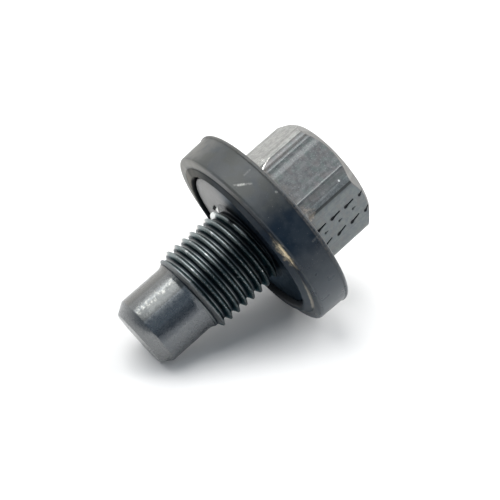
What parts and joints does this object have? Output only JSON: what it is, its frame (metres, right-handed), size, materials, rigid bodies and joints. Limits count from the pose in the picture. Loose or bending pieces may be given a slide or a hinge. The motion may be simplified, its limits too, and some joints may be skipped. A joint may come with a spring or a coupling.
{
  "type": "oil drain plug",
  "caption": "Threaded steel drain plug with a hexagon head, a flange wearing a moulded rubber sealing ring, a fine thread and a plain pilot point",
  "frame": {"origin": "centre of the hexagon head's flat end face, on the plug's axis", "axes": "+Z runs along the plug's axis from the head to the pilot point; +X points at one corner of the hexagon; +Y completes the right-handed frame"},
  "size_m": [0.0324, 0.0324, 0.0386],
  "materials": {
    "dark_steel": "dark grey phosphate coating, worn to brighter metal on edges and on the pilot point",
    "seal_rubber": "matt black moulded rubber, greyed by dust"
  },
  "bodies": {
    "root": {"plug_body": "dark_steel", "sealing_ring": "seal_rubber"}
  },
  "joints": []
}
